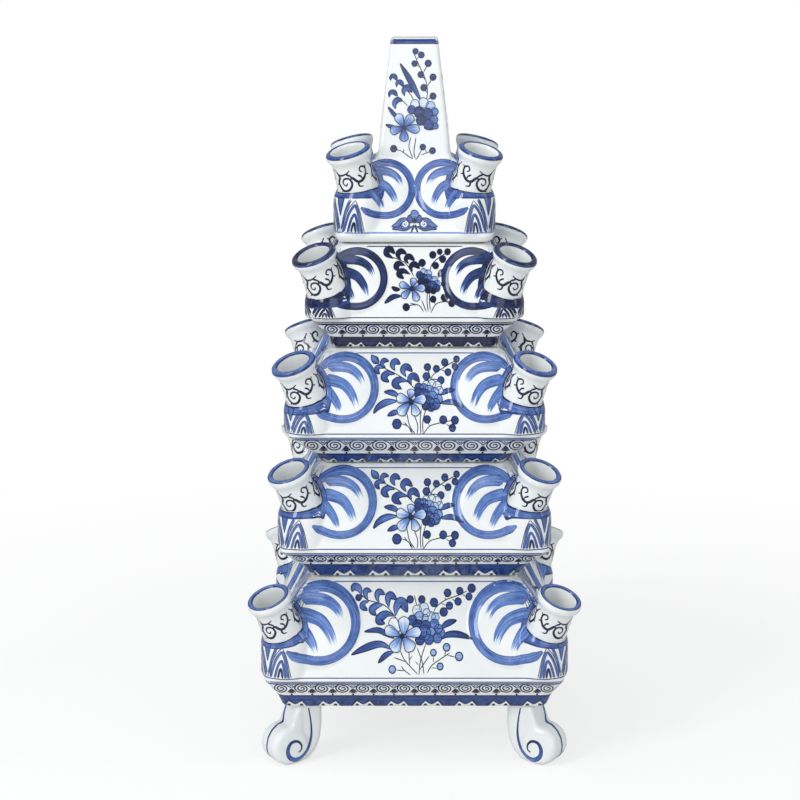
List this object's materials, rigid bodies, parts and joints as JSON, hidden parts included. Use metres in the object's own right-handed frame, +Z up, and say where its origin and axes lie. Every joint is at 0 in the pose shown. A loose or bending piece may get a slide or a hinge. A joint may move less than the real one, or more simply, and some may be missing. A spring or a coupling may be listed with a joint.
{
  "type": "tiered flower holder",
  "caption": "Square stacking tower for cut flowers: tapering tiers with a flared spout on every corner, scroll feet below and an obelisk on top.",
  "frame": {"origin": "middle of the footprint, on the surface that the feet stand on", "axes": "+Z up, -Y towards the front of the picture, +X to its right"},
  "size_m": [0.266, 0.266, 0.5786],
  "materials": {
    "tier_porcelain": "glossy white glaze with underglaze blue painting",
    "spout_porcelain": "glossy white glaze with underglaze blue scrolls and a blue lip",
    "foot_porcelain": "glossy white glaze with blue lines"
  },
  "bodies": {
    "tier_1": {"tier_1_body": "tier_porcelain", "tier_1_spout_back_right": "spout_porcelain", "tier_1_spout_back_left": "spout_porcelain", "tier_1_spout_front_left": "spout_porcelain", "tier_1_spout_front_right": "spout_porcelain", "foot_back_right": "foot_porcelain", "foot_back_left": "foot_porcelain", "foot_front_left": "foot_porcelain", "foot_front_right": "foot_porcelain"},
    "tier_2": {"tier_2_body": "tier_porcelain", "tier_2_spout_back_right": "spout_porcelain", "tier_2_spout_back_left": "spout_porcelain", "tier_2_spout_front_left": "spout_porcelain", "tier_2_spout_front_right": "spout_porcelain"},
    "tier_3": {"tier_3_body": "tier_porcelain", "tier_3_spout_back_right": "spout_porcelain", "tier_3_spout_back_left": "spout_porcelain", "tier_3_spout_front_left": "spout_porcelain", "tier_3_spout_front_right": "spout_porcelain"},
    "tier_4": {"tier_4_body": "tier_porcelain", "tier_4_spout_back_right": "spout_porcelain", "tier_4_spout_back_left": "spout_porcelain", "tier_4_spout_front_left": "spout_porcelain", "tier_4_spout_front_right": "spout_porcelain"},
    "tier_5": {"tier_5_body": "tier_porcelain", "tier_5_spout_back_right": "spout_porcelain", "tier_5_spout_back_left": "spout_porcelain", "tier_5_spout_front_left": "spout_porcelain", "tier_5_spout_front_right": "spout_porcelain"}
  },
  "joints": [
    {"name": "tier_2_lift", "type": "slide", "parent": "tier_1", "child": "tier_2", "axis": [0, 0, 1], "range_m": [0, 0.08]},
    {"name": "tier_3_lift", "type": "slide", "parent": "tier_2", "child": "tier_3", "axis": [0, 0, 1], "range_m": [0, 0.08]},
    {"name": "tier_4_lift", "type": "slide", "parent": "tier_3", "child": "tier_4", "axis": [0, 0, 1], "range_m": [0, 0.08]},
    {"name": "tier_5_lift", "type": "slide", "parent": "tier_4", "child": "tier_5", "axis": [0, 0, 1], "range_m": [0, 0.08]}
  ]
}
